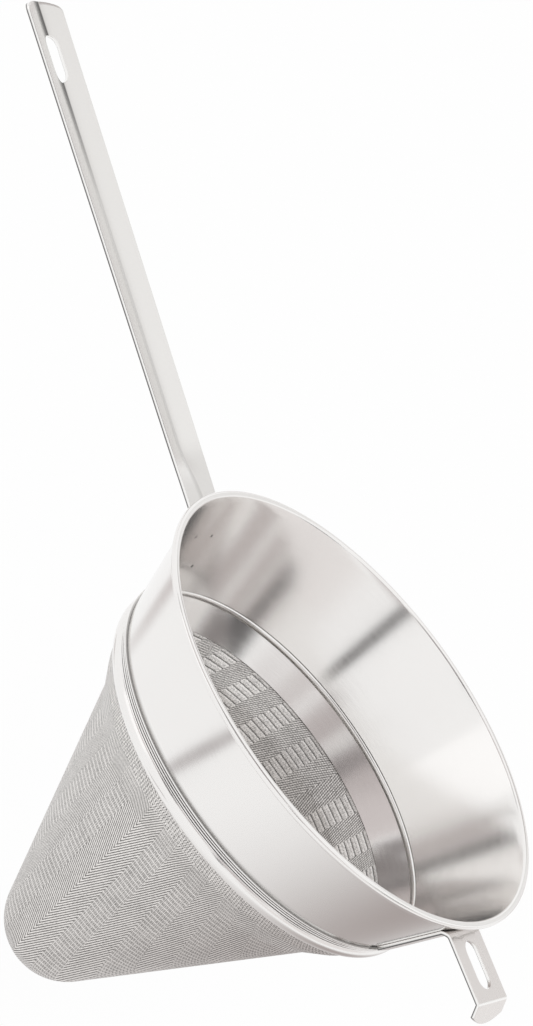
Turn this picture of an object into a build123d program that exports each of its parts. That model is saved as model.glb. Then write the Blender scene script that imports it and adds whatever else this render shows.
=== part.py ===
"""Chinois strainer: a conical wire-cloth strainer with a flared collar, strip handle and pan hook.

The cone's axis is Z, the mouth opens to +Z, and the origin is the centre of the mouth, level
with the top of the rolled rim. The handle reaches out towards -X and the hook towards +X.
Lengths are in millimetres and angles in degrees.
"""
import os
from math import cos, radians, sin, tan

from build123d import *

os.makedirs("parts", exist_ok=True)

# Collar and its rolled rim
mouth_diameter = 200.0
rim_roll_diameter = 3.2
rim_wire_diameter = 1.4
rim_roll_opening = 0.5
collar_sheet = 0.8
collar_height = 44.5
collar_lean = 19.0

# Inner clamping ring, which holds the wire cloth from inside
ring_sheet = 0.8
ring_lean = 29.2
ring_below_collar = 14.1
ring_step_in = 0.15
ring_lip_gap = 0.35
ring_lip_height = 2.65
ring_lip_flare = 0.5
ring_lip_edge = 0.5
ring_lip_bulge = 0.55

# Wire cloth cone
cloth_thickness = 0.5
bowl_depth = 183.0
cone_half_angle = 24.8
tip_radius = 25.4
shoulder_height = 11.6
shoulder_radius = 12.0
cloth_grip = 3.8

# Outer lock ring with its narrow upper bead and wide lower bead
lock_wall = 0.7
lock_edge = 0.35
lock_overlap = 3.4
lock_below_collar = 6.5
upper_bead_bulge = 0.1
lower_bead_bulge = 1.55

# Strip that the handle and the hook are pressed from
strip_thickness = 1.5
bend_radius = 2.0

# Handle
handle_reach = 209.7
handle_rise = 14.7
handle_below_mouth = 11.6
handle_root_width = 23.2
handle_end_width = 26.2
handle_tab_above_lock = 4.1
handle_flat_root = 5.0
trough_run_out = 22.0
trough_depth = 3.0
trough_floor = 1.6
trough_root_share = 0.2
handle_end_crown = 3.1
handle_corner_radius = 2.0

# Hook
hook_width = 24.6
hook_reach = 24.65
hook_fall = 9.4
hook_below_mouth = 11.2
hook_leg_above_lock = 1.3
hook_lip_turn = 58.8
hook_lip_side = 6.0
hook_lip_length = 9.5

# Hanging slots in the handle's end and in the hook's arm
slot_length = 20.0
slot_width = 9.5
handle_slot_from_end = 24.5
hook_slot_from_crease = 15.2

# Spot welds, two across and two down, behind the handle's tab and the hook's leg
weld_diameter = 3.2
weld_depth = 0.75
weld_spacing_across = 12.9
weld_spacing_down = 14.2
handle_weld_above_foot = 10.9
hook_weld_above_foot = 12.8

# Clearance between pieces that are clamped or pressed together, and the overrun of a cut
seam_clearance = 0.05
overrun = 5.0


def wall_point(start, lean, drop, outward=0.0):
    """A point on a wall that leans in as it goes down, drop below start and outward from it."""
    r, z = start
    return (r - drop * tan(radians(lean)) + outward / cos(radians(lean)), z - drop)


# Rim roll, collar wall and the faces that other pieces seat on
roll_radius = rim_roll_diameter / 2
roll_bore_radius = roll_radius - collar_sheet
roll_centre = (mouth_diameter / 2 - roll_radius, -roll_radius)
collar_top_inner = (
    roll_centre[0] - roll_radius * cos(radians(collar_lean)),
    roll_centre[1] + roll_radius * sin(radians(collar_lean)),
)


def collar_face(depth, outward=0.0):
    """The collar's inner face at a depth below the mouth, or a face outward from it."""
    return wall_point(collar_top_inner, collar_lean, depth + collar_top_inner[1], outward)


collar_foot_inner = collar_face(collar_height)
collar_foot_outer = collar_face(collar_height, collar_sheet)

with BuildPart() as collar:
    with BuildSketch(Plane.XZ) as collar_section:
        with BuildLine():
            Polyline(
                collar_top_inner,
                collar_foot_inner,
                collar_foot_outer,
                collar_face(-collar_top_inner[1], collar_sheet),
                close=True,
            )
        make_face()
        with Locations(roll_centre):
            Circle(roll_radius)
            Circle(roll_bore_radius, mode=Mode.SUBTRACT)
        with Locations(
            (
                roll_centre[0] - roll_bore_radius * sin(radians(collar_lean)),
                roll_centre[1] - (roll_radius + roll_bore_radius) / 2 * cos(radians(collar_lean)),
            )
        ):
            Rectangle(rim_roll_opening, collar_sheet * 2, rotation=-collar_lean, mode=Mode.SUBTRACT)
    revolve(axis=Axis.Z)
collar.part.label = "collar"
export_step(collar.part, "parts/collar.step")

with BuildPart() as rim_wire:
    with BuildSketch(Plane.XZ) as wire_section:
        with Locations(roll_centre):
            Circle(rim_wire_diameter / 2)
    revolve(axis=Axis.Z)
rim_wire.part.label = "rim_wire"
export_step(rim_wire.part, "parts/rim_wire.step")

# Inner ring: a short bulging lip under the collar's foot, then a skirt that leans in more
lip_depth = collar_height + ring_lip_gap
ring_depth = collar_height + ring_below_collar
skirt_top = (collar_foot_inner[0] - ring_step_in, -lip_depth - ring_lip_height)
lip_inner = (skirt_top[0] + ring_lip_flare, -lip_depth)
skirt_drop = ring_depth + skirt_top[1]
skirt_foot = wall_point(skirt_top, ring_lean, skirt_drop)
lip_middle = (
    (skirt_top[0] + lip_inner[0]) / 2 - ring_lip_bulge,
    (skirt_top[1] + lip_inner[1]) / 2,
)

with BuildPart() as inner_ring:
    with BuildSketch(Plane.XZ) as ring_section:
        with BuildLine():
            ThreePointArc(lip_inner, lip_middle, skirt_top)
            Polyline(
                skirt_top,
                skirt_foot,
                wall_point(skirt_top, ring_lean, skirt_drop, ring_sheet),
                wall_point(skirt_top, ring_lean, 0, ring_sheet),
                (lip_inner[0] + ring_lip_edge, lip_inner[1]),
                lip_inner,
            )
        make_face()
    revolve(axis=Axis.Z)
inner_ring.part.label = "inner_ring"
export_step(inner_ring.part, "parts/inner_ring.step")

# Wire cloth: a thin shell that lies on the skirt, steps in at the shoulder, then runs as a
# cone to its rounded tip
cloth_outward = ring_sheet + seam_clearance + cloth_thickness
lock_depth = collar_height + lock_below_collar
grip_drop = lock_depth + skirt_top[1] - cloth_grip
tip_centre_z = tip_radius - bowl_depth
shoulder_start = wall_point(skirt_top, ring_lean, skirt_drop, cloth_outward)
shoulder_end_z = shoulder_start[1] - shoulder_height
shoulder_end = (
    (shoulder_end_z - tip_centre_z) * tan(radians(cone_half_angle))
    + tip_radius / cos(radians(cone_half_angle)),
    shoulder_end_z,
)
tip_tangent = (
    tip_radius * cos(radians(cone_half_angle)),
    tip_centre_z - tip_radius * sin(radians(cone_half_angle)),
)
cloth_top = wall_point(skirt_top, ring_lean, grip_drop, cloth_outward)

with BuildPart() as mesh_cone:
    with BuildSketch(Plane.XZ) as cloth_section:
        with BuildLine():
            Line(cloth_top, shoulder_start)
            FilletPolyline(shoulder_start, shoulder_end, tip_tangent, radius=shoulder_radius)
            CenterArc((0, tip_centre_z), tip_radius, -cone_half_angle, cone_half_angle - 90)
            offset(amount=cloth_thickness, side=Side.RIGHT)
        make_face()
    revolve(axis=Axis.Z)
mesh_cone.part.label = "mesh_cone"
export_step(mesh_cone.part, "parts/mesh_cone.step")

# Lock ring: its narrow upper bead grips the collar and its wide lower bead the wire cloth
lock_top_depth = collar_height - lock_overlap
lock_top_in = collar_face(lock_top_depth, collar_sheet + seam_clearance)
lock_top_out = collar_face(lock_top_depth, collar_sheet + seam_clearance + lock_edge)
upper_bead_crest = collar_face(
    collar_height - lock_overlap / 2, collar_sheet + seam_clearance + lock_wall + upper_bead_bulge
)
lock_valley_in = collar_face(collar_height, collar_sheet + seam_clearance)
lock_valley_out = collar_face(collar_height, collar_sheet + seam_clearance + lock_wall)
lock_foot_drop = lock_depth + skirt_top[1]
lock_grip_top = wall_point(skirt_top, ring_lean, grip_drop, cloth_outward + seam_clearance)
lock_foot_in = wall_point(skirt_top, ring_lean, lock_foot_drop, cloth_outward + seam_clearance)
lock_foot_out = wall_point(
    skirt_top, ring_lean, lock_foot_drop, cloth_outward + seam_clearance + lock_edge
)
lock_step_in = (lock_valley_in[0] + ring_lip_gap, lock_valley_in[1] - ring_lip_gap)

with BuildPart() as lock_ring:
    with BuildSketch(Plane.XZ) as lock_section:
        with BuildLine():
            ThreePointArc(lock_top_out, upper_bead_crest, lock_valley_out)
            SagittaArc(lock_valley_out, lock_foot_out, lower_bead_bulge)
            Polyline(
                lock_foot_out,
                lock_foot_in,
                lock_grip_top,
                lock_step_in,
                lock_valley_in,
                lock_top_in,
                lock_top_out,
            )
        make_face()
    revolve(axis=Axis.Z)
lock_ring.part.label = "lock_ring"
export_step(lock_ring.part, "parts/lock_ring.step")

# Handle: a flat tab on the collar, one bend, then a shallow upturned trough that widens
# towards its crowned end
tab_outward = collar_sheet + seam_clearance
mouth_radius = mouth_diameter / 2
handle_tab_depth = lock_top_depth - handle_tab_above_lock
hook_leg_depth = lock_top_depth - hook_leg_above_lock
handle_weld_depth = handle_tab_depth - handle_weld_above_foot
hook_weld_depth = hook_leg_depth - hook_weld_above_foot


def strip_corner(below_mouth, slope):
    """Where a strip's top face, set by its depth at the rim's radius, meets the collar line."""
    r_level, z_level = collar_face(0, tab_outward)
    rise = tan(radians(slope))
    z = (-below_mouth + rise * (r_level - mouth_radius)) / (1 - rise * tan(radians(collar_lean)))
    return (r_level + z * tan(radians(collar_lean)), z)


def weld_plane(side, centre_depth):
    """The flat face of the handle's tab (side -1) or the hook's leg (side 1), facing outward."""
    r, z = collar_face(centre_depth, tab_outward)
    return Plane(
        origin=(side * r, 0, z),
        x_dir=(0, 1, 0),
        z_dir=(side * cos(radians(collar_lean)), 0, -sin(radians(collar_lean))),
    )


handle_corner = strip_corner(handle_below_mouth, handle_rise)
tab_foot = collar_face(handle_tab_depth, tab_outward)
root_end_r = mouth_radius + handle_flat_root
root_end_z = -handle_below_mouth + handle_flat_root * tan(radians(handle_rise))
root_end = (root_end_r, root_end_z)
arm_x = -cos(radians(handle_rise))
arm_z = sin(radians(handle_rise))
arm_start = handle_flat_root / cos(radians(handle_rise))
arm_end = handle_reach + handle_end_crown
width_gain = (handle_end_width - handle_root_width) / handle_reach


def arm_plane(along):
    """A plane square to the handle's arm, this far along it from the rim's radius."""
    return Plane(
        origin=(-mouth_radius + along * arm_x, 0, -handle_below_mouth + along * arm_z),
        x_dir=(0, -1, 0),
        z_dir=(arm_x, 0, arm_z),
    )


# The same arm seen square on, x along it from the rim's radius and y across it
arm_face = Plane(
    origin=(-mouth_radius, 0, -handle_below_mouth), x_dir=(arm_x, 0, arm_z), z_dir=(arm_z, 0, -arm_x)
)

with BuildPart() as handle:
    for along, depth in (
        (arm_start, strip_thickness * trough_root_share),
        (arm_start + trough_run_out, trough_depth),
        (arm_end, trough_depth),
    ):
        with BuildSketch(arm_plane(along)):
            half = (handle_root_width + along * width_gain) / 2
            with BuildLine():
                Polyline(
                    (-half, 0),
                    (-trough_floor / 2, -depth),
                    (trough_floor / 2, -depth),
                    (half, 0),
                    (half, -strip_thickness),
                    (trough_floor / 2, -depth - strip_thickness),
                    (-trough_floor / 2, -depth - strip_thickness),
                    (-half, -strip_thickness),
                    close=True,
                )
            make_face()
    loft(ruled=True)
    with BuildSketch(arm_face) as end_outline:
        half_end = handle_end_width / 2
        with BuildLine():
            Polyline((handle_reach, half_end), (0, half_end), (0, -half_end), (handle_reach, -half_end))
            ThreePointArc((handle_reach, -half_end), (arm_end, 0), (handle_reach, half_end))
        make_face()
        fillet(end_outline.vertices().group_by(Axis.X)[-1], handle_corner_radius)
    extrude(amount=trough_depth + strip_thickness + overrun, both=True, mode=Mode.INTERSECT)
    with BuildSketch(Plane.XZ) as handle_bend:
        with BuildLine():
            FilletPolyline(
                (-tab_foot[0], tab_foot[1]),
                (-handle_corner[0], handle_corner[1]),
                (-root_end[0], root_end[1]),
                radius=bend_radius + strip_thickness,
            )
            offset(amount=strip_thickness, side=Side.LEFT)
        make_face()
    extrude(amount=handle_root_width / 2, both=True)
    with BuildSketch(arm_face):
        with Locations((arm_end - handle_slot_from_end, 0)):
            SlotOverall(slot_length, slot_width)
    extrude(amount=trough_depth + strip_thickness + overrun, both=True, mode=Mode.SUBTRACT)
    with BuildSketch(weld_plane(-1, handle_weld_depth)) as handle_weld_spots:
        with GridLocations(weld_spacing_across, weld_spacing_down, 2, 2):
            Circle(weld_diameter / 2)
    extrude(amount=weld_depth, mode=Mode.SUBTRACT)
handle.part.label = "handle"
export_step(handle.part, "parts/handle.step")

# Hook: a leg on the collar, a slotted arm that falls slightly, and a lip turned down to
# catch the rim of a pan
hook_corner = strip_corner(hook_below_mouth, -hook_fall)
leg_foot = collar_face(hook_leg_depth, tab_outward)
hook_crease = (
    mouth_radius + hook_reach,
    -hook_below_mouth - hook_reach * tan(radians(hook_fall)),
)
lip_end = (
    hook_crease[0] + hook_lip_length * cos(radians(hook_lip_turn)),
    hook_crease[1] - hook_lip_length * sin(radians(hook_lip_turn)),
)
lip_face = Plane(
    origin=(hook_crease[0], 0, hook_crease[1]),
    x_dir=(cos(radians(hook_lip_turn)), 0, -sin(radians(hook_lip_turn))),
    z_dir=(sin(radians(hook_lip_turn)), 0, cos(radians(hook_lip_turn))),
)
hook_face = Plane(
    origin=(hook_crease[0], 0, hook_crease[1]),
    x_dir=(cos(radians(hook_fall)), 0, -sin(radians(hook_fall))),
    z_dir=(sin(radians(hook_fall)), 0, cos(radians(hook_fall))),
)

with BuildPart() as hook:
    with BuildSketch(Plane.XZ) as hook_bends:
        with BuildLine():
            FilletPolyline(
                leg_foot,
                hook_corner,
                hook_crease,
                lip_end,
                radius=bend_radius + strip_thickness,
            )
            offset(amount=strip_thickness, side=Side.RIGHT)
        make_face()
    extrude(amount=hook_width / 2, both=True)
    with BuildSketch(lip_face):
        with BuildLine():
            ThreePointArc(
                (hook_lip_side, -hook_width / 2), (hook_lip_length, 0), (hook_lip_side, hook_width / 2)
            )
            Polyline(
                (hook_lip_side, hook_width / 2),
                (hook_lip_length + overrun, hook_width / 2),
                (hook_lip_length + overrun, -hook_width / 2),
                (hook_lip_side, -hook_width / 2),
            )
        make_face()
    extrude(amount=strip_thickness + overrun, both=True, mode=Mode.SUBTRACT)
    with BuildSketch(hook_face):
        with Locations((-hook_slot_from_crease, 0)):
            SlotOverall(slot_length, slot_width)
    extrude(amount=strip_thickness + overrun, both=True, mode=Mode.SUBTRACT)
    with BuildSketch(weld_plane(1, hook_weld_depth)) as hook_weld_spots:
        with GridLocations(weld_spacing_across, weld_spacing_down, 2, 2):
            Circle(weld_diameter / 2)
    extrude(amount=weld_depth, mode=Mode.SUBTRACT)
hook.part.label = "hook"
export_step(hook.part, "parts/hook.step")

# Spot welds: each nugget bridges the gap between the round collar and a flat tab or leg, and
# sinks into the strip
weld_far_side = (weld_spacing_across + weld_diameter) / 2
weld_least_r = collar_face(max(handle_tab_depth, hook_leg_depth), tab_outward)[0]
weld_gap = (weld_least_r**2 + weld_far_side**2) ** (1 / 2) - weld_least_r
weld_root = seam_clearance + weld_gap + collar_sheet / 4

with BuildPart() as handle_welds:
    with BuildSketch(weld_plane(-1, handle_weld_depth).offset(-weld_root)):
        with GridLocations(weld_spacing_across, weld_spacing_down, 2, 2):
            Circle(weld_diameter / 2)
    extrude(amount=weld_root + weld_depth)
    add(collar.part, mode=Mode.SUBTRACT)
handle_welds.part.label = "handle_welds"
export_step(handle_welds.part, "parts/handle_welds.step")

with BuildPart() as hook_welds:
    with BuildSketch(weld_plane(1, hook_weld_depth).offset(-weld_root)):
        with GridLocations(weld_spacing_across, weld_spacing_down, 2, 2):
            Circle(weld_diameter / 2)
    extrude(amount=weld_root + weld_depth)
    add(collar.part, mode=Mode.SUBTRACT)
hook_welds.part.label = "hook_welds"
export_step(hook_welds.part, "parts/hook_welds.step")
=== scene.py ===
"""The finished look of the chinois strainer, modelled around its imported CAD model.

Everything is in metres in the model's own frame: the mouth's centre is the origin, +Z runs up
the cone's axis, the handle reaches towards -X and the pan hook towards +X.
"""

from collections import namedtuple
from math import asin, atan2, ceil, cos, hypot, pi, radians, sin, sqrt, tan

import bpy
from bpy.props import FloatProperty, FloatVectorProperty, IntProperty, PointerProperty
from bpy.types import Operator, Panel, PropertyGroup
from mathutils import Matrix, Vector


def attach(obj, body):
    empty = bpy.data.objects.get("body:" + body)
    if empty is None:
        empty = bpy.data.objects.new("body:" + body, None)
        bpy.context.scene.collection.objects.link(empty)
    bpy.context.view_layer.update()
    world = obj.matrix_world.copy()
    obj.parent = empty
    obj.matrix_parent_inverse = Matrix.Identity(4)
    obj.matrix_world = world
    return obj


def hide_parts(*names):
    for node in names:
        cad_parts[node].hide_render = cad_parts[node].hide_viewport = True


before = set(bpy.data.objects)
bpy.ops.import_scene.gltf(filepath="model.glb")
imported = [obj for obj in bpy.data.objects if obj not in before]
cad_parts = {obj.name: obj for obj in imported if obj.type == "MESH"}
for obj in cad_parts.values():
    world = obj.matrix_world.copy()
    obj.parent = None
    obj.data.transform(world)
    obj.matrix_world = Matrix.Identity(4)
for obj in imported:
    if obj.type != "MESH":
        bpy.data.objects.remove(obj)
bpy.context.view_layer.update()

bl_info = {
    "name": "Chinois strainer",
    "version": (1, 0, 0),
    "blender": (4, 5, 0),
    "location": "3D View > Sidebar > Strainer",
    "description": "Models a chinois strainer with its rolled rim, wire cloth, handle and hook",
    "category": "Object",
}


def length(name, description, default):
    """A property that holds a length in metres."""
    return FloatProperty(
        name=name, description=description, default=default, unit="LENGTH", precision=5
    )


def angle(name, description, degrees):
    """A property that holds an angle, given in degrees."""
    return FloatProperty(
        name=name, description=description, default=radians(degrees), subtype="ANGLE"
    )


def share(name, description, default):
    """A property that holds a share between 0 and 1."""
    return FloatProperty(
        name=name, description=description, default=default, min=0.0, max=1.0, subtype="FACTOR"
    )


def colour(name, description, default):
    """A property that holds a colour."""
    return FloatVectorProperty(
        name=name, description=description, default=default,
        subtype="COLOR", size=3, min=0.0, max=1.0,
    )


class CollarSizes(PropertyGroup):
    """Sizes of the flared collar and its rolled rim."""

    mouth_diameter: length("Mouth diameter", "Over the outside of the rolled rim", 0.19998)
    roll_diameter: length("Roll diameter", "Thickness of the rolled rim", 0.0032)
    roll_opening: angle("Roll opening", "Turn left open where the roll meets the wall again", 30.0)
    sheet: length("Sheet", "Thickness of the collar's sheet", 0.0008)
    height: length("Height", "From the mouth down to the collar's foot", 0.0445)
    lean: angle("Lean", "Lean of the collar's wall from the axis", 19.0)
    turns: IntProperty(
        name="Turn steps", description="Facets round the collar and the rings", default=288, min=24
    )


class RingSizes(PropertyGroup):
    """Sizes of the inner ring and the outer lock ring."""

    sheet: length("Inner sheet", "Thickness of the inner ring's sheet", 0.0008)
    lean: angle("Skirt lean", "Lean of the inner ring's skirt from the axis", 29.2)
    below_collar: length("Below collar", "Inner ring's foot below the collar's foot", 0.0141)
    step_in: length("Step in", "Skirt's top inward of the collar's foot", 0.00015)
    lip_gap: length("Lip gap", "Groove between the collar's foot and the lip", 0.00035)
    lip_height: length("Lip height", "Height of the rounded lip", 0.00265)
    lip_flare: length("Lip flare", "How far the lip's top stands outward of its foot", 0.0005)
    lip_edge: length("Lip edge", "Thickness of the lip's top edge", 0.0005)
    lip_bulge: length("Lip bulge", "How far the lip bulges inward", 0.00065)
    lock_edge: length("Lock edge", "Thickness of the lock ring's edges", 0.00035)
    lock_overlap: length("Lock overlap", "Height of the lock ring's grip on the collar", 0.0034)
    lock_below_collar: length(
        "Lock below collar", "Lock ring's foot below the collar's foot", 0.0065
    )
    lock_stand: length("Lock stand", "How far the lock ring's top stands off the collar", 0.0009)
    ridge_bulge: length("Ridge bulge", "Roundness of the fine ridges over the collar", 0.0004)
    groove_floor: length("Groove floor", "Grooves between the ridges, out from the collar", 0.0005)
    groove_width: length("Groove width", "Width of the grooves between the ridges", 0.0006)
    lower_bulge: length("Lower bulge", "Roundness of the wide lower bead", 0.00155)
    seam: length("Seam", "Clearance between clamped sheets", 0.00005)


class ClothSizes(PropertyGroup):
    """Sizes of the wire cloth cone and its weave."""

    thickness: length("Thickness", "Thickness of the wire cloth", 0.0005)
    depth: length("Bowl depth", "From the mouth down to the cloth's tip", 0.183)
    cone: angle("Cone half angle", "Half angle of the cone", 24.8)
    tip_radius: length("Tip radius", "Radius of the rounded tip", 0.0254)
    shoulder_height: length(
        "Shoulder height", "Height of the shoulder under the inner ring", 0.0116
    )
    shoulder_radius: length("Shoulder radius", "Rounding between shoulder and cone", 0.012)
    grip: length("Grip", "Height of the cloth that the lock ring covers", 0.0038)
    stripe: length("Stripe", "Width of one herringbone stripe", 0.0092)
    stripe_start: length("Stripe start", "Where the middle stripes meet, along X", 0.0013)
    warp_repeat: length("Warp repeat", "Repeat of the weave across the stripes", 0.001013)
    weft_repeat: length("Weft repeat", "Repeat of the weave along the stripes", 0.0028)
    bead: length("Bead", "Distance between two crossings across the stripes", 0.00085)
    turns: IntProperty(
        name="Turn steps", description="Facets round the cloth", default=300, min=24
    )


class StripSizes(PropertyGroup):
    """Sizes of the bent strips: the handle and the hook."""

    thickness: length("Thickness", "Thickness of the strip", 0.0015)
    bend: length("Bend radius", "Radius of a bend over its outer face", 0.0035)
    crease_bend: length("Crease radius", "Radius of the hook's crease over its outer face", 0.0018)
    edge: length("Edge rounding", "Rounding of the strip's cut edges", 0.0003)
    weld_across: length("Weld spacing across", "Between two spot welds, across the strip", 0.0129)
    weld_down: length("Weld spacing down", "Between two spot welds, down the strip", 0.0142)
    handle_welds: length("Handle welds", "Middle of the handle's welds below the mouth", 0.0261)
    hook_welds: length("Hook welds", "Middle of the hook's welds below the mouth", 0.027)
    slot_length: length("Slot length", "Length of a hanging slot", 0.02)
    slot_width: length("Slot width", "Width of a hanging slot", 0.0095)
    reach: length(
        "Handle reach", "Along the arm, from the rim's radius to the end's corners", 0.2097
    )
    rise: angle("Handle rise", "Slope of the handle's arm", 14.7)
    below: length(
        "Handle below mouth", "Arm's top face below the mouth, at the rim's radius", 0.0116
    )
    root_width: length("Handle root width", "Width of the handle at the collar", 0.0232)
    end_width: length("Handle end width", "Width of the handle at its end", 0.0262)
    above_lock: length(
        "Tab above lock ring", "Gap between the tab's foot and the lock ring", 0.0041
    )
    trough: length("Trough depth", "Depth of the pressed trough", 0.003)
    trough_start: length("Trough start", "Along the arm, where the trough begins", 0.003)
    trough_run: length("Trough run-out", "Length over which the trough reaches its depth", 0.024)
    trough_round: length("Trough rounding", "Rounding of the trough's valley", 0.0009)
    crown: length("End crown", "How far the end's middle stands past its corners", 0.0031)
    corner: length("End corner", "Rounding of the end's corners", 0.002)
    slot_from_end: length("Slot from end", "From the handle's end to the slot's middle", 0.0245)
    hook_width: length("Hook width", "Width of the hook", 0.0246)
    hook_reach: length("Hook reach", "From the rim's radius to the hook's crease", 0.02465)
    hook_fall: angle("Hook fall", "Slope of the hook's arm, downwards", 9.4)
    hook_below: length(
        "Hook below mouth", "Arm's top face below the mouth, at the rim's radius", 0.0112
    )
    hook_above_lock: length(
        "Leg above lock ring", "Gap between the leg's foot and the lock ring", 0.0013
    )
    lip_turn: angle("Hook lip turn", "Slope of the hook's lip, downwards", 58.8)
    lip_side: length("Hook lip side", "Length of the lip's straight sides", 0.006)
    lip_length: length("Hook lip length", "Length of the lip at its middle", 0.0095)
    slot_from_crease: length(
        "Slot from crease", "From the hook's crease to the slot's middle", 0.0152
    )


class Finishes(PropertyGroup):
    """Colours and gloss of the steel and the cloth."""

    steel: colour("Steel", "Colour of the polished sheet", (0.905, 0.89, 0.875))
    strip: colour("Handle", "Colour of the handle's polished strip", (0.846, 0.833, 0.815))
    # a painted highlight: the strips' sides are given a lighter copy of the strip's steel
    strip_side_highlight: colour("Strip sides", "Colour of the strips' bright sides", (0.95, 0.94, 0.925))
    hook: colour("Hook", "Colour of the hook's duller strip", (0.80, 0.765, 0.745))
    wire: colour("Wire", "Colour of the woven wire", (0.95, 0.925, 0.90))
    between_wires: colour("Between wires", "Colour in the gaps of the cloth", (0.05, 0.045, 0.042))
    # painted shade in the lock ring's grooves
    seam: colour("Seam", "Colour in the lock ring's grooves", (0.02, 0.019, 0.018))
    # painted shade on the strips' downward cut edges
    edge: colour("Edge", "Colour of the strips' cut edges", (0.12, 0.117, 0.115))
    steel_roughness: share("Steel roughness", "Roughness of the polished sheet", 0.15)
    strip_roughness: share("Strip roughness", "Roughness of the polished strip", 0.22)
    wire_roughness: share("Wire roughness", "Roughness of the wire", 0.42)


class Studio(PropertyGroup):
    """Camera, floor and light."""

    camera_place: FloatVectorProperty(
        name="Camera place", description="Where the camera stands", size=3, unit="LENGTH",
        default=(0.37537, -1.70908, 0.80969),
    )
    camera_right: FloatVectorProperty(
        name="Camera right", description="Direction of the picture's right side", size=3,
        default=(0.503419, 0.473353, 0.722845),
    )
    camera_up: FloatVectorProperty(
        name="Camera up", description="Direction of the picture's top", size=3,
        default=(-0.831239, 0.036994, 0.554684),
    )
    lens: FloatProperty(name="Lens", description="Focal length in millimetres", default=175.44)
    floor_drop: length("Floor drop", "Floor below the cloth's tip", 0.002)
    floor_size: length("Floor size", "Side of the floor", 6.0)
    floor: colour("Floor", "Colour of the floor", (0.9, 0.9, 0.9))
    card_place: FloatVectorProperty(
        name="Card place", description="Middle of the grey card on the floor", size=2,
        unit="LENGTH", default=(0.24, 0.11),
    )
    card_radius: length("Card radius", "Radius of the grey card", 0.36)
    card: colour("Card", "Colour of the grey card's middle", (0.40, 0.355, 0.345))
    smudge: colour("Floor shade", "Colour of the narrow shade on the floor", (0.45, 0.42, 0.42))
    night: colour("Night", "Darkest cards round the object", (0.20, 0.178, 0.178))
    dusk: colour("Dusk", "Dark grey cards round the object", (0.40, 0.357, 0.355))
    overcast: colour("Overcast", "Middle grey cards round the object", (0.52, 0.470, 0.466))
    mist: colour("Mist", "Grey cards round the object", (0.64, 0.60, 0.594))
    haze: colour("Haze", "Pale grey cards round the object", (0.85, 0.82, 0.81))
    pale: colour("Pale", "Palest card, over the far side", (0.86, 0.855, 0.85))
    glint: colour("Glint", "A patch of light between the grey cards", (0.86, 0.85, 0.84))
    stand: colour("Stand", "Colour of the dark spots that the steel shows", (0.06, 0.055, 0.055))
    key_power: FloatProperty(
        name="Left lamp", description="Power of the left lamp in watts", default=0.9
    )
    fill_power: FloatProperty(
        name="Top lamp", description="Power of the top lamp in watts", default=1.0
    )
    world_strength: FloatProperty(
        name="World strength", description="Light of the surroundings", default=0.8
    )


# A section starts as a small plane, and points closer than the merge distances are one point
SEED = 0.001
MERGE_DRAWN, MERGE_SPUN = 1e-6, 2e-6
# Edges flatter than these are shaded smooth, and a strip's edges sharper than this are rounded
SMOOTH_SPUN, SMOOTH_STRIP = radians(40), radians(35)
BEVEL_FROM = radians(55)

# The roll's outside would meet the wall again 60 degrees short of a full turn
WHOLE_ROLL = radians(300)
# Steps of the arcs, and greatest lengths of the straight parts
ROLL_STEPS, BORE_STEPS, LIP_STEPS, RIDGE_STEPS, BEAD_STEPS = 30, 18, 10, 8, 16
WALL_STEP, SKIRT_STEP, SHOULDER_STEP, CONE_STEP = 0.003, 0.002, 0.0012, 0.0016
BOW_STEPS, TIP_STEPS = 5, 26

# Grooves of the lock ring as shares of its overlap, and how much of a groove's width gets painted
# shade
GROOVE_SHARES = (0.27, 0.62, 1.0)
GROOVE_SHADE_SHARE = 0.52
# Where the inner ring's skirt goes on from its lip, as a share of the skirt
SKIRT_START = 0.02

# Columns of a strip's grid as shares of its half width, closer at the edges and in the valley
COLUMN_SHARES = (-1, -0.985, -0.955, -0.92, -0.85, -0.77, -0.68, -0.5, -0.36, -0.24, -0.14, -0.06)
# Distances between its rows on the straight, and steps of its bends
FOOT_STEP, PLAIN_STEP, SLOT_STEP, LIP_STEP = 0.003, 0.0032, 0.0014, 0.0012
BEND_STEPS, CREASE_STEPS = 10, 6
# Faces opened round a slot: half its length, and its half width as a share of the strip's
SLOT_BLOCK, SLOT_BLOCK_SHARE = 0.014, 0.68
# The opening's rim lies within this many times the block, and is drawn in by these shares
SLOT_RIM = 1.1
SLOT_DRAWS = (0.35, 0.55, 0.8, 1.0)
# Share of the hook's lip over which its end curves
LIP_CURVE_SHARE = 0.6
# Turn over which a foot, bent round the collar, straightens out
SNUG_TURN = 0.6
# Points past this share of a strip's half width are on its sides
SIDE_SHARE = 0.6
# The hook's crease gets a painted highlight: how far before it the highlighted faces start, and
# how they slope
CREASE_REACH = 0.003
CREASE_SLOPE = (0.66, 0.95)
# Roughness that the hook has above the handle's
HOOK_DULLER = 0.06

# Noises: scale, detail and roughness
GRAIN, SMEAR = (1.0, 3.0, 0.6), (28.0, 4.0, 0.55)
UNEVEN, SPECKS = (90.0, 3.0, 0.6), (1500.0, 1.0, 0.5)
# Directions that the grain runs in, as a stretch along X, Y and Z
SPUN, ROLLED = (60.0, 60.0, 900.0), (40.0, 900.0, 40.0)
# Polished steel: how far it is metal, how dark its worn tone is, and how tone and gloss vary
METAL, WORN = 0.94, 0.86
SMEAR_TONE, CLEAN_TONE = 0.108, 0.837
GRAIN_ROUGH, SMEAR_ROUGH, MEAN_ROUGH = 0.06, 0.08, 0.07
# Height of the fine relief, and how strong it is on steel and in the weave
RELIEF, STEEL_RELIEF, WEAVE_RELIEF = 0.0002, 0.03, 0.4
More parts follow.
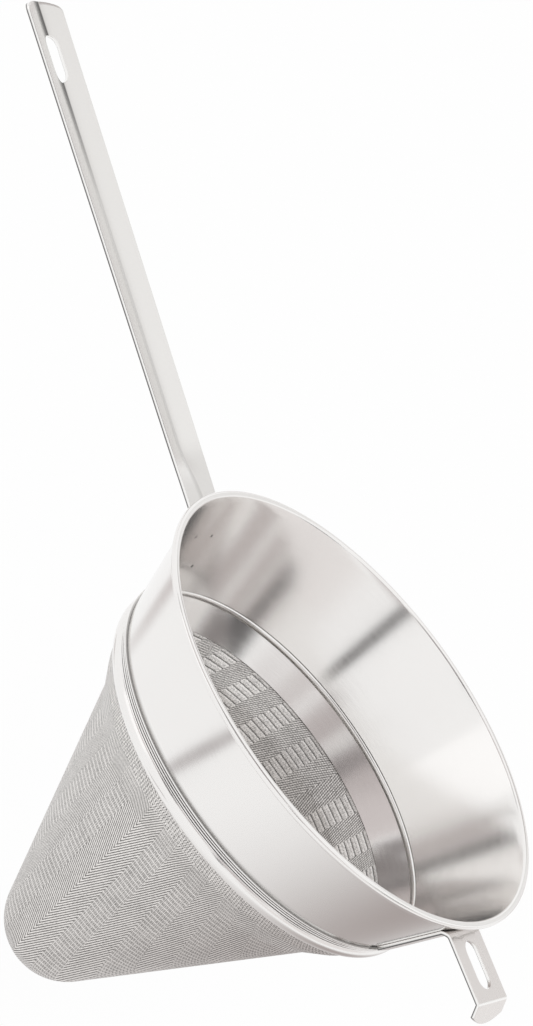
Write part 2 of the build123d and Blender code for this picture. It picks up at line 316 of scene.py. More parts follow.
# Colour of a weld dimple and of painted shade, and roughness of the painted-shade grooves and cut
# edges
MARK_AND_SHADE_TONE, DULL = (0.04, 0.037, 0.035), 0.6
MILLIMETRES = 1000

# Weld dimples and the painted shade above the lock ring, in metres from where they are darkest to
# where they end
LOCK_SHADE_LINE, LOCK_SHADE_FALL = (0.0002, 0.0026), 1.6
DIMPLE = (0.0004, 0.0009)
MARK_AND_SHADE_DEPTH = 0.75
# Painted shade on the strips' lower sides and the painted dark reflection along the handle's
# valley, as ramps: low, high, and the depth there
SIDE_SHADE = (0.5, 0.75, 0.0, 0.85)
VALLEY_REFLECTION = (0.0003, 0.001, 0.9, 0.0)
# Towards the handle's end, from and to these distances, the valley's painted dark reflection
# darkens and widens
VALLEY_FROM_END = (0.085, 0.036)
VALLEY_DARKER, VALLEY_DARK = 0.8, 0.2
VALLEY_WIDER, VALLEY_SLOPE = -0.12, 0.3

# A row of weft: sharpness of its wave, what it adds to the brightness, and the brightness beside
ROW_SHARP = 7.0
ROWS = ((0.65, 0.73), (-0.75, 0.84))
# Inside, a bright wire beside each row: its shift in repeats, its sharpness and its brightness
WIRE_SHIFT, WIRE_SHARP, WIRE_BRIGHT = 0.2, 9.0, 0.30
# Tones of the weave from outside and inside: a wave's low and high, and the brightness there
TWILL_TONES = ((0.1, 0.6, 0.12, 1.22), (0.15, 0.8, 0.28, 0.90))
WIRE_TONES = ((0, 1, 0.62, 1.14), (0, 1, 0.72, 1.15))
KNOT_TONES = ((0.1, 0.9, -0.34, 0.36), (0.1, 0.9, -0.16, 0.14))
DOT_TONES = (0.05, 0.6, 0.55, 0.0)
UNEVEN_TONES = (0.25, 0.75, 0.88, 1.12)
SPECK_TONES = (0.3, 0.7, 0.68, 1.34)
# Depth over width at which a stripe has turned into rows, and at which it is whole
ROWS_AT_SIDE = (0.14, 0.42, 1.0, 0.0)
# Keeps a division off zero
OFF_ZERO = 0.001
# Coarse dots above the crease: distances in millimetres, and their slant; how much of the weave
# shows between them, and half the width of their border in millimetres
DOTS_ACROSS, DOTS_ALONG, DOTS_SLANT = 1.35, 1.3, 0.25
DOTS_WEAVE, DOTS_BORDER = 0.45, 0.5
# The cloth spreads towards its sides: by this share at this distance from the middle
SIDE_SPREAD, SPREAD_AT = 0.25, 0.07

# Height of the camera's sensor in millimetres, and how far it sees in metres
SENSOR, CLIP_END = 36.0, 50.0
# Cards on the floor lie this far over each other. Those in the round stand this far off, each
# a little nearer than the one before
FLOOR_LAYER = 0.001
DOME, DOME_LAYER = 2.6, 0.03
# Faces of a card across and up
CARD_CUTS = (24, 12)
# How much of what is seen of the floor is plain white
FLOOR_WHITE = 0.97


def settings():
    """The scene, which holds the sets of sizes and finishes."""
    return bpy.context.scene


def deselect():
    """Leaves object mode with nothing selected."""
    if bpy.context.object and bpy.context.object.mode != "OBJECT":
        bpy.ops.object.mode_set(mode="OBJECT")
    bpy.ops.object.select_all(action="DESELECT")


def distance(start, end):
    """Distance between two points of a section."""
    return hypot(end[0] - start[0], end[1] - start[1])


def between(start, end, part):
    """The point at this part of the way from start to end."""
    return tuple(a + (b - a) * part for a, b in zip(start, end))


def arc(centre, radius, start, end, steps):
    """Points on an arc in the section plane, angles in radians from the outward direction."""
    turns = [start + (end - start) * i / steps for i in range(steps + 1)]
    return [(centre[0] + radius * cos(turn), centre[1] + radius * sin(turn)) for turn in turns]


def bulge(start, end, height, steps):
    """Points on an arc from start to end that stands off its chord by height, to the left."""
    chord = distance(start, end)
    radius = (chord**2 / 4 + height**2) / (2 * abs(height))
    half = asin(min(1.0, chord / 2 / radius))
    left = ((start[1] - end[1]) / chord, (end[0] - start[0]) / chord)
    sign = 1 if height > 0 else -1
    back = sign * (radius - abs(height))
    middle = between(start, end, 0.5)
    centre = (middle[0] - left[0] * back, middle[1] - left[1] * back)
    begin = atan2(start[1] - centre[1], start[0] - centre[0])
    return arc(centre, radius, begin, begin - sign * 2 * half, steps)


def spread(start, end, step):
    """Points from start to end, at most step apart, without the last one."""
    count = max(1, ceil(distance(start, end) / step))
    return [between(start, end, i / count) for i in range(count)]


def wall_point(start, lean, drop, outward=0.0):
    """A point on a wall that leans in as it goes down, drop below start and outward from it."""
    return (start[0] - drop * tan(lean) + outward / cos(lean), start[1] - drop)


def draw_section(name, points):
    """A closed outline in the XZ plane, drawn by extruding one vertex from point to point."""
    deselect()
    bpy.ops.mesh.primitive_plane_add(size=SEED, location=(points[0][0], 0, points[0][1]))
    piece = bpy.context.object
    piece.name = name
    piece.data.name = name
    bpy.ops.object.transform_apply(location=True, rotation=False, scale=False)
    bpy.ops.object.mode_set(mode="EDIT")
    bpy.ops.mesh.select_all(action="SELECT")
    bpy.ops.mesh.merge(type="CENTER")
    for here, point in zip(points, points[1:]):
        bpy.ops.mesh.extrude_region_move(
            TRANSFORM_OT_translate={"value": (point[0] - here[0], 0, point[1] - here[1])}
        )
    bpy.ops.mesh.select_all(action="SELECT")
    bpy.ops.mesh.remove_doubles(threshold=MERGE_DRAWN)
    return piece


def spin_round(piece, steps):
    """Spins a drawn section once round the axis and closes it into a ring."""
    bpy.ops.mesh.select_all(action="SELECT")
    bpy.ops.mesh.spin(steps=steps, angle=2 * pi, center=(0, 0, 0), axis=(0, 0, 1))
    bpy.ops.mesh.select_all(action="SELECT")
    bpy.ops.mesh.remove_doubles(threshold=MERGE_SPUN)
    bpy.ops.mesh.normals_make_consistent(inside=False)
    bpy.ops.object.mode_set(mode="OBJECT")
    bpy.ops.object.shade_smooth_by_angle(angle=SMOOTH_SPUN)
    return piece


def hand_over(piece, node, slot, *finishes):
    """Gives a finished piece its finishes in order, hangs it under the root body and hides its CAD
    node.
    """
    slots = piece.data.materials
    for i, finish in enumerate(finishes):
        if i < len(slots):
            slots[i] = finish
        else:
            slots.append(finish)
    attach(piece, "root")
    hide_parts(node)


def collar_face(depth, outward=0.0):
    """The collar's inner face at a depth below the mouth, or a face outward from it."""
    c = settings().strainer_collar
    roll = c.roll_diameter / 2
    centre = (c.mouth_diameter / 2 - roll, -roll)
    top = (centre[0] - roll * cos(c.lean), centre[1] + roll * sin(c.lean))
    return wall_point(top, c.lean, depth + top[1], outward)


def skirt_point(below_collar, outward=0.0):
    """The inner ring's inner face at a depth below the collar's foot, or outward from it."""
    c, r = settings().strainer_collar, settings().strainer_rings
    top = skirt_top()
    return wall_point(top, r.lean, c.height + below_collar + top[1], outward)


def skirt_top():
    """Top of the inner ring's skirt, on its inner face."""
    c, r = settings().strainer_collar, settings().strainer_rings
    return (collar_face(c.height)[0] - r.step_in, -c.height - r.lip_gap - r.lip_height)


class NodeBoard:
    """Adds and joins the nodes of one material, or of the world."""

    def __init__(self, holder, shader="Principled BSDF", output="Material Output"):
        holder.use_nodes = True
        self.holder = holder
        self.tree = holder.node_tree
        self.shader = self.tree.nodes[shader]
        self.output = self.tree.nodes[output]

    def put(self, node, inputs):
        """Joins outputs to a node's inputs, or writes plain values there."""
        for key, value in inputs.items():
            if isinstance(value, bpy.types.NodeSocket):
                self.tree.links.new(value, node.inputs[key])
            else:
                node.inputs[key].default_value = value
        return node

    def add(self, kind, inputs=None, **options):
        """One new node."""
        node = self.tree.nodes.new(kind)
        for key, value in options.items():
            setattr(node, key, value)
        return self.put(node, inputs or {})

    def math(self, operation, *values):
        """The result of one math node."""
        inputs = dict(enumerate(values))
        return self.add("ShaderNodeMath", inputs, operation=operation).outputs[0]

    def blend(self, part, first, second):
        """First where part is 0 and second where it is 1."""
        kept = self.math("MULTIPLY", self.math("SUBTRACT", 1.0, part), first)
        return self.math("ADD", self.math("MULTIPLY", part, second), kept)

    def ramp(self, value, low, high, start=0.0, end=1.0):
        """The value's place between low and high, held to start and end."""
        inputs = {"Value": value, 1: low, 2: high, 3: start, 4: end}
        return self.add("ShaderNodeMapRange", inputs).outputs["Result"]

    def wave(self, cycles):
        """A wave that is 1 at each whole cycle and 0 halfway."""
        turn = self.math("COSINE", self.math("MULTIPLY", cycles, 2 * pi))
        return self.math("MULTIPLY_ADD", turn, 0.5, 0.5)

    def noise(self, place, scale, detail, roughness):
        """Noise about 0.5."""
        inputs = {"Vector": place, "Scale": scale, "Detail": detail, "Roughness": roughness}
        return self.add("ShaderNodeTexNoise", inputs).outputs["Fac"]

    def place(self):
        """The place on the object."""
        return self.add("ShaderNodeTexCoord").outputs["Object"]

    def parts(self, vector):
        """The three parts of a vector."""
        return self.add("ShaderNodeSeparateXYZ", {"Vector": vector}).outputs

    def vector(self, *parts):
        """A vector from its parts."""
        return self.add("ShaderNodeCombineXYZ", dict(enumerate(parts))).outputs[0]

    def flat_map(self, name):
        """The parts of a piece's own flat map."""
        return self.parts(self.add("ShaderNodeUVMap", uv_map=name).outputs[0])

    def mix(self, factor, first, second):
        """Mixes two colours."""
        first, second = ((*c, 1.0) if isinstance(c, tuple) else c for c in (first, second))
        inputs = {0: factor, 6: first, 7: second}
        return self.add("ShaderNodeMix", inputs, data_type="RGBA").outputs[2]

    def relief(self, height, strength):
        """The normal of a surface with this fine relief."""
        inputs = {"Height": height, "Strength": strength, "Distance": RELIEF}
        return self.add("ShaderNodeBump", inputs).outputs["Normal"]

    def dress(self, **inputs):
        """Fills in the shader's own inputs; the finished material."""
        self.put(self.shader, {key.replace("_", " "): value for key, value in inputs.items()})
        return self.holder

    def show(self, factor, first, second):
        """Shows two shaders mixed by a factor; the finished material."""
        mixed = self.add("ShaderNodeMixShader", {0: factor, 1: first, 2: second})
        self.put(self.output, {"Surface": mixed.outputs[0]})
        return self.holder


def board_of(name):
    """The node board of a new material."""
    return NodeBoard(bpy.data.materials.new(name))


def polished_steel(name, base, roughness, grain_scale, marks_and_shade=None):
    """Polished steel with fine grain from spinning or rolling, and faint smears.

    marks_and_shade is a function that draws dark weld dimples and painted shade on the board: 1
    where the steel is dark.
    """
    board = board_of(name)
    place = board.place()
    stretched = board.add("ShaderNodeMapping", {"Vector": place, "Scale": grain_scale}).outputs[0]
    grain = board.noise(stretched, *GRAIN)
    smear = board.noise(place, *SMEAR)
    worn = tuple(part * WORN for part in base)
    skin = board.mix(board.math("MULTIPLY_ADD", smear, SMEAR_TONE, CLEAN_TONE), worn, tuple(base))
    # weld dimples and painted shade darken the skin
    if marks_and_shade:
        skin = board.mix(marks_and_shade(board, place), skin, MARK_AND_SHADE_TONE)
    # both noises change the gloss about its mean
    rough = board.math("MULTIPLY_ADD", grain, GRAIN_ROUGH, roughness - MEAN_ROUGH)
    rough = board.math("MULTIPLY_ADD", smear, SMEAR_ROUGH, rough)
    normal = board.relief(grain, STEEL_RELIEF)
    return board.dress(Base_Color=skin, Roughness=rough, Normal=normal, Metallic=METAL)


def painted_shade_finish(name, tone):
    """A dull dark finish, painted as shade on the floor of a narrow groove and on a strip's lower
    cut edges.
    """
    return board_of(name).dress(Base_Color=(*tone, 1.0), Metallic=1.0, Roughness=DULL)


def weld_dimples_and_lock_shade(board, place):
    """Dimples inside the collar behind the spot welds, and painted shade in a line above the lock
    ring.
    """
    c, r, s = settings().strainer_collar, settings().strainer_rings, settings().strainer_strips
    x, y, z = board.parts(place)
    flat = board.vector(x, y)
    radius = board.add("ShaderNodeVectorMath", {0: flat}, operation="LENGTH").outputs["Value"]
    # the distance outward from the inner face's slant line tells the outside from the inside
    slant = board.math("MULTIPLY_ADD", z, -tan(c.lean), -collar_face(0)[0])
    outside = board.math("GREATER_THAN", board.math("ADD", radius, slant), c.sheet / 2)
    # painted shade: the outside of the collar darkens just above the lock ring, standing in for
    # the ring's contact shadow and the dark reflection of its groove
    lock_top = r.lock_overlap - c.height
    seam = board.ramp(z, *(lock_top + reach for reach in LOCK_SHADE_LINE), MARK_AND_SHADE_DEPTH, 0.0)
    total = board.math("MULTIPLY", board.math("POWER", seam, LOCK_SHADE_FALL), outside)
    folded = board.vector(x, board.math("ABSOLUTE", y), z)
    across = s.weld_across / 2
    for side, level in ((-1, s.handle_welds), (1, s.hook_welds)):
        for step in (-0.5, 0.5):
            out, height = collar_face(level + step * s.weld_down)
            weld = {0: folded, 1: (side * sqrt(out**2 - across**2), across, height)}
            away = board.add("ShaderNodeVectorMath", weld, operation="DISTANCE").outputs["Value"]
            total = board.math("MAXIMUM", total, board.ramp(away, *DIMPLE, MARK_AND_SHADE_DEPTH, 0.0))
    return total


def painted_side_shade(board, _):
    """Painted shade on the lower part of a strip's long sides, by the strip's own map."""
    return board.ramp(board.flat_map("side")[1], *SIDE_SHADE)


def painted_valley_reflection(board, place):
    """A painted dark reflection along the bottom of the handle's trough."""
    x, y, _ = board.parts(place)
    end = -settings().strainer_collar.mouth_diameter / 2 - settings().strainer_strips.reach
    near_end = board.ramp(x, *(end + reach for reach in VALLEY_FROM_END))
    # the painted dark reflection lies on the near slope, and is widest near the handle's end
    widening = board.math("MULTIPLY_ADD", near_end, VALLEY_WIDER, VALLEY_SLOPE)
    near_slope = board.math("MULTIPLY", board.math("MULTIPLY", y, -1.0), widening)
    line = board.ramp(board.math("MAXIMUM", y, near_slope), *VALLEY_REFLECTION)
    darkening = board.math("MULTIPLY_ADD", near_end, VALLEY_DARKER, VALLEY_DARK)
    return board.math("MULTIPLY", line, darkening)


def wire_cloth(name, f, crease, inner=False):
    """Woven wire in herringbone stripes, turn about: steep twill lines, then level rows of weft.

    From outside a row of weft is a bright wire on grey, from inside a dark groove on pale grey.
    The crease's place is given in millimetres up from the tip.
    """
    c = settings().strainer_cloth
    board = board_of(name)
    place = board.place()
    x, y, _ = board.parts(place)
    across, along, _ = board.flat_map("cloth")
    weft_repeat = c.weft_repeat * MILLIMETRES

    off_middle = board.math("SUBTRACT", across, c.stripe_start * MILLIMETRES)
    off_middle = board.math("ABSOLUTE", off_middle)
    stripe = board.math("DIVIDE", off_middle, c.stripe * MILLIMETRES)
    level_stripe = board.math("GREATER_THAN", board.math("FLOORED_MODULO", stripe, 2.0), 1.0)
    # at the two sides, where a twill line would run level too, every stripe turns into rows
    width = board.math("ADD", board.math("ABSOLUTE", x), OFF_ZERO)
    past_side = board.math("DIVIDE", board.math("ABSOLUTE", y), width)
    level_stripe = board.math("MAXIMUM", level_stripe, board.ramp(past_side, *ROWS_AT_SIDE))

    weft = board.math("DIVIDE", along, weft_repeat)
    warp = board.math("DIVIDE", off_middle, c.warp_repeat * MILLIMETRES)
    twill = board.wave(board.math("SUBTRACT", weft, warp))
    # every third weft wire floats, so the wires themselves lie three times as close
    wires = board.wave(board.math("DIVIDE", along, weft_repeat / 3))
    crossings = board.wave(board.math("DIVIDE", across, c.bead * MILLIMETRES))
    knots = board.ramp(board.math("MULTIPLY", crossings, wires), *KNOT_TONES[inner])
    rows = board.math("POWER", board.wave(weft), ROW_SHARP)
    lines = board.ramp(twill, *TWILL_TONES[inner])
    steep = board.math("MULTIPLY", lines, board.ramp(wires, *WIRE_TONES[inner]))
    if inner:
        # each groove has a bright wire just beside it
        beside = board.wave(board.math("SUBTRACT", weft, WIRE_SHIFT))
        beside = board.math("POWER", beside, WIRE_SHARP)
        level = board.math("MULTIPLY_ADD", board.math("POWER", rows, 2.0), *ROWS[inner])
        level = board.math("MULTIPLY_ADD", beside, WIRE_BRIGHT, level)
    else:
        level = board.math("MULTIPLY_ADD", rows, *ROWS[inner])
    height = board.blend(level_stripe, steep, board.math("ADD", level, knots))
    if not inner:
        # above the crease the pressed cloth shows its crossings as coarse dots
        slanted = board.math("DIVIDE", along, DOTS_ALONG)
        slanted = board.math("MULTIPLY_ADD", across, DOTS_SLANT, slanted)
        dots = board.wave(board.math("DIVIDE", across, DOTS_ACROSS))
        dots = board.ramp(board.math("MULTIPLY", dots, board.wave(slanted)), *DOT_TONES)
        coarse = board.math("MULTIPLY_ADD", height, DOTS_WEAVE, dots)
        border = (crease - DOTS_BORDER, crease + DOTS_BORDER)
        pressed = board.ramp(board.math("ABSOLUTE", along), *border)
        height = board.blend(pressed, height, coarse)

    uneven = board.ramp(board.noise(place, *UNEVEN), *UNEVEN_TONES)
    specks = board.ramp(board.noise(place, *SPECKS), *SPECK_TONES)
    lit = board.math("MULTIPLY", board.math("MULTIPLY", height, uneven), specks)
    skin = board.mix(board.ramp(lit, 0.0, 1.0), tuple(f.between_wires), tuple(f.wire))
    normal = board.relief(height, WEAVE_RELIEF)
    return board.dress(Base_Color=skin, Normal=normal, Metallic=1.0, Roughness=f.wire_roughness)


class OBJECT_OT_strainer_collar(Operator):
    """Spins the collar with its rolled rim"""

    bl_idname = "object.strainer_collar"
    bl_label = "Collar and rim"

    def execute(self, context):
        c, f = settings().strainer_collar, settings().strainer_finishes
        roll = c.roll_diameter / 2
        bore = roll - c.sheet
        centre = (c.mouth_diameter / 2 - roll, -roll)
        begin = pi - c.lean
        end = begin - WHOLE_ROLL + c.roll_opening
        foot_in, foot_out = collar_face(c.height), collar_face(c.height, c.sheet)
        roll_outside = arc(centre, roll, begin, end, ROLL_STEPS)
        roll_inside = arc(centre, bore, end, begin, BORE_STEPS)
        outline = spread(foot_in, roll_outside[0], WALL_STEP) + roll_outside
        outline += roll_inside[:-1] + spread(roll_inside[-1], foot_out, WALL_STEP)
        outline += [foot_out, foot_in]
        piece = spin_round(draw_section("collar_skin", outline), c.turns)
        steel = polished_steel("spun_steel", f.steel, f.steel_roughness, SPUN, weld_dimples_and_lock_shade)
        hand_over(piece, "collar", "collar_steel", steel)
        wire = bpy.data.objects["rim_wire"]
        wire.material_slots[0].material = steel
        return {"FINISHED"}


class OBJECT_OT_strainer_rings(Operator):
    """Spins the inner ring and the lock ring"""

    bl_idname = "object.strainer_rings"
    bl_label = "Clamping rings"

    def execute(self, context):
        c, r = settings().strainer_collar, settings().strainer_rings
        cloth, f = settings().strainer_cloth, settings().strainer_finishes
        steel = polished_steel("ring_steel", f.steel, f.steel_roughness, SPUN)
        top = skirt_top()
        foot = skirt_point(r.below_collar)
        lip = (top[0] + r.lip_flare, -c.height - r.lip_gap)
        outline = bulge(lip, top, -r.lip_bulge, LIP_STEPS)
        outline += spread(between(top, foot, SKIRT_START), foot, SKIRT_STEP)
        outline += [
            foot,
            skirt_point(r.below_collar, r.sheet),
            wall_point(top, r.lean, 0, r.sheet),
            (lip[0] + r.lip_edge, lip[1]),
            lip,
        ]
        piece = spin_round(draw_section("inner_ring_skin", outline), c.turns)
        hand_over(piece, "inner_ring", "collar_steel", steel)

        on_collar = c.sheet + r.seam
        on_cloth = r.sheet + r.seam + cloth.thickness + r.seam
        lock_top = c.height - r.lock_overlap
        valley = collar_face(c.height, on_collar)
        foot_out = skirt_point(r.lock_below_collar, on_cloth + r.lock_edge)
        grooves = [
            collar_face(lock_top + r.lock_overlap * part, on_collar + r.groove_floor)
            for part in GROOVE_SHARES
        ]
        outline, here = [], collar_face(lock_top, on_collar + r.lock_stand)
        for x, z in grooves:
            outline += bulge(here, (x, z + r.groove_width / 2), r.ridge_bulge, RIDGE_STEPS)
            here = (x, z - r.groove_width / 2)
        outline += bulge(here, foot_out, r.lower_bulge, BEAD_STEPS)
        outline += [
            skirt_point(r.lock_below_collar, on_cloth),
            skirt_point(r.lock_below_collar - cloth.grip, on_cloth),
            (valley[0] + r.lip_gap, valley[1] - r.lip_gap),
            valley,
            collar_face(lock_top, on_collar),
            outline[0],
        ]
        piece = spin_round(draw_section("lock_ring_skin", outline), c.turns)
        hand_over(piece, "lock_ring", "collar_steel", steel, painted_shade_finish("painted_groove_shade", f.seam))
        # the faces in the grooves get the painted shade
        for face in piece.data.polygons:
            place = (hypot(face.center.x, face.center.y), face.center.z)
            if min(distance(place, groove) for groove in grooves) < r.groove_width * GROOVE_SHADE_SHARE:
                face.material_index = 1
        return {"FINISHED"}


def cloth_outline():
    """The wire cloth's outer face, from the lock ring's grip down to the tip; and its crease."""
    r, cloth = settings().strainer_rings, settings().strainer_cloth
    outward = r.sheet + r.seam + cloth.thickness
    grip = skirt_point(r.lock_below_collar - cloth.grip, outward)
    crease = skirt_point(r.below_collar, outward)
    centre = (0.0, cloth.tip_radius - cloth.depth)
    corner_z = crease[1] - cloth.shoulder_height
    corner_out = (corner_z - centre[1]) * tan(cloth.cone) + cloth.tip_radius / cos(cloth.cone)
    corner = (corner_out, corner_z)
    tip = arc(centre, cloth.tip_radius, -cloth.cone, -pi / 2, TIP_STEPS)

    # the rounding under the shoulder touches both lines this far from their corner
    back = atan2(crease[1] - corner[1], crease[0] - corner[0])
    ahead = atan2(tip[0][1] - corner[1], tip[0][0] - corner[0])
    turn = pi - abs(back - ahead)
    reach = cloth.shoulder_radius * tan(turn / 2)
    touch_in = (corner[0] + reach * cos(back), corner[1] + reach * sin(back))
    touch_out = (corner[0] + reach * cos(ahead), corner[1] + reach * sin(ahead))
    bow = cloth.shoulder_radius * (1 - cos(turn / 2))

    above = spread(grip, crease, SHOULDER_STEP)
    outer = above + spread(crease, touch_in, SHOULDER_STEP)
    outer += bulge(touch_in, touch_out, -bow, BOW_STEPS)[:-1]
    outer += spread(touch_out, tip[0], CONE_STEP) + tip
    outer[-1] = (0.0, outer[-1][1])
    return outer, len(above)


def cloth_pattern(piece, outer):
    """Lays the cloth flat for its weave, in millimetres: across the stripes and along them.

    The cloth is one sheet pressed over the tip, so along is minus the length on the far side.
    """
    lengths, total = [(0.0, 0.0)], 0.0
    for here, after in zip(outer[:0:-1], outer[-2::-1]):
        total += distance(here, after)
        lengths.append((after[0], total))

    def length_from_tip(radius):
        """Length of cloth from the tip to this radius."""
        low, high = 0, len(lengths) - 1
        while high - low > 1:
            half = (low + high) // 2
            low, high = (half, high) if lengths[half][0] < radius else (low, half)
        (r1, l1), (r2, l2) = lengths[low], lengths[high]
        return l1 + (l2 - l1) * (radius - r1) / max(r2 - r1, 1e-7)

    places = []
    for vertex in piece.data.vertices:
        x, y = vertex.co.x, vertex.co.y
        across = x * (1 + SIDE_SPREAD * (x / SPREAD_AT) ** 2)
        places.append((across * MILLIMETRES, length_from_tip(hypot(x, y)) * MILLIMETRES))
    layer = piece.data.uv_layers.new(name="cloth")
    for face in piece.data.polygons:
        side = -1 if face.center.y > 0 else 1
        for corner in face.loop_indices:
            across, along = places[piece.data.loops[corner].vertex_index]
            layer.data[corner].uv = (across, side * along)


class OBJECT_OT_strainer_cloth(Operator):
    """Spins the wire cloth cone and lays its weave"""

    bl_idname = "object.strainer_cloth"
    bl_label = "Wire cloth"

    def execute(self, context):
        cloth, f = settings().strainer_cloth, settings().strainer_finishes
        outer, sharp = cloth_outline()
        inner = []
        for i, point in enumerate(outer):
            before, after = outer[max(0, i - 1)], outer[min(len(outer) - 1, i + 1)]
            step = cloth.thickness / distance(before, after)
            inward = ((after[1] - before[1]) * step, (before[0] - after[0]) * step)
            inner.append((point[0] + inward[0], point[1] + inward[1]))
        inner[-1] = (0.0, outer[-1][1] + cloth.thickness)
        piece = spin_round(draw_section("wire_cloth", inner[::-1] + outer), cloth.turns)
        cloth_pattern(piece, outer)
        crease = sum(distance(a, b) for a, b in zip(outer[sharp:], outer[sharp + 1 :]))
        outside = wire_cloth("woven_wire", f, crease * MILLIMETRES)
        inside = wire_cloth("woven_wire_inside", f, crease * MILLIMETRES, inner=True)
        hand_over(piece, "mesh_cone", "wire_cloth", outside, inside)
        for face in piece.data.polygons:
            face.material_index = 1 if face.normal.z > 0 else 0
        return {"FINISHED"}


# One place along a bent strip: how far along, a point on its top face, the face's direction
Station = namedtuple("Station", "along point heading half_width trough", defaults=(0.0,))


def fold(first, corner, last, radius, steps):
    """The rounded corner between two lines: its points and headings, first and last included."""
    begin = atan2(corner[1] - first[1], corner[0] - first[0])
    turn = atan2(last[1] - corner[1], last[0] - corner[0]) - begin
    turn = (turn + pi) % (2 * pi) - pi
    reach = radius * tan(abs(turn) / 2)
    x, z = corner[0] - reach * cos(begin), corner[1] - reach * sin(begin)
    swing = radius if turn > 0 else -radius
    centre = (x - swing * sin(begin), z + swing * cos(begin))
    headings = [begin + turn * i / steps for i in range(steps + 1)]
    return [((centre[0] + swing * sin(h), centre[1] - swing * cos(h)), h) for h in headings]


def stretch(start, end, step):
    """Points and heading of a straight stretch, the last point left out."""
    heading = atan2(end[1] - start[1], end[0] - start[0])
    return [(point, heading) for point in spread(start, end, step)]


def pick_nothing(kind):
    """Clears the selection of the mesh in hand, ready to pick its vertices, edges or faces."""
    bpy.ops.object.mode_set(mode="EDIT")
    bpy.ops.mesh.select_mode(type=kind)
    bpy.ops.mesh.select_all(action="DESELECT")
    bpy.ops.object.mode_set(mode="OBJECT")


def cut_slot(piece, middle, half_width):
    """Opens a block of faces and draws its rim in, ring by ring, to a slot with round ends."""
    s = settings().strainer_strips
    block = (SLOT_BLOCK, half_width * SLOT_BLOCK_SHARE)
    half = (s.slot_length - s.slot_width) / 2
    pick_nothing("FACE")
    for face in piece.data.polygons:
        face.select = abs(face.center.x - middle) < block[0] and abs(face.center.y) < block[1]
    bpy.ops.object.mode_set(mode="EDIT")
    bpy.ops.mesh.delete(type="FACE")
    pick_nothing("EDGE")
    uses = {}
    for face in piece.data.polygons:
        for key in face.edge_keys:
            uses[key] = uses.get(key, 0) + 1
    for edge in piece.data.edges:
        a, b = (piece.data.vertices[i].co for i in edge.vertices)
        centre = (a + b) / 2
        near = abs(centre.x - middle) < block[0] * SLOT_RIM and abs(centre.y) < block[1] * SLOT_RIM
        edge.select = uses.get(edge.key, 0) == 1 and near
    bpy.ops.object.mode_set(mode="EDIT")
    for draw in SLOT_DRAWS:
        bpy.ops.mesh.extrude_edges_move(TRANSFORM_OT_translate={"value": (0, 0, 0)})
        bpy.ops.object.mode_set(mode="OBJECT")
        for vertex in piece.data.vertices:
            if vertex.select:
                core = Vector((middle + max(-half, min(half, vertex.co.x - middle)), 0, 0))
                rim = core + (vertex.co - core).normalized() * s.slot_width / 2
                vertex.co = vertex.co.lerp(rim, draw)
        bpy.ops.object.mode_set(mode="EDIT")
    bpy.ops.object.mode_set(mode="OBJECT")


def flat_strip(name, stations, half):
    """A flat grid with a row at each station, and columns that follow the strip's width."""
    columns = COLUMN_SHARES + (0.0,) + tuple(-part for part in reversed(COLUMN_SHARES))
    deselect()
    bpy.ops.mesh.primitive_grid_add(
        x_subdivisions=len(stations) - 1, y_subdivisions=len(columns) - 1, size=1,
        location=(0, 0, 0),
    )
    piece = bpy.context.object
    piece.name = name
    piece.data.name = name
    if len(piece.data.vertices) != len(stations) * len(columns):
        raise RuntimeError("the strip's grid has another number of points")
    for vertex in piece.data.vertices:
        row = round((vertex.co.x + 0.5) * (len(stations) - 1))
        column = round((vertex.co.y + 0.5) * (len(columns) - 1))
        vertex.co = (stations[row].along, half * columns[column], 0)
    return piece


def shape_strip(piece, stations, half, end_shape):
    """Moves a flat strip point by point to its bends, its trough and its shaped end."""
    round_off = settings().strainer_strips.trough_round
    edge_rise = sqrt(half**2 + round_off**2) - round_off
    for vertex in piece.data.vertices:
        along, across = vertex.co.x, vertex.co.y
        row = 0
        while row < len(stations) - 2 and along > stations[row + 1].along:
            row += 1
        first, second = stations[row], stations[row + 1]
        part = (along - first.along) / (second.along - first.along)
        x, z = between(first.point, second.point, part)
        heading, width, trough = between(first[2:], second[2:], part)
        short, short_from = end_shape(abs(across) / half)
        reach = short * max(0.0, (along - short_from) / (stations[-1].along - short_from))
        sunk = trough * (1 - (sqrt(across**2 + round_off**2) - round_off) / edge_rise)
        side = 1 if x > 0 else -1
        across *= width / half
        # the foot is bent round the collar, and straightens out in the bend above it
        snug = max(0.0, 1 - abs(heading - stations[0].heading) / SNUG_TURN)
        snug *= abs(x) - sqrt(x * x - across * across)
        vertex.co = (
            x - cos(heading) * reach + side * (sin(heading) * sunk - snug),
            across,
            z - sin(heading) * reach - side * cos(heading) * sunk,
        )


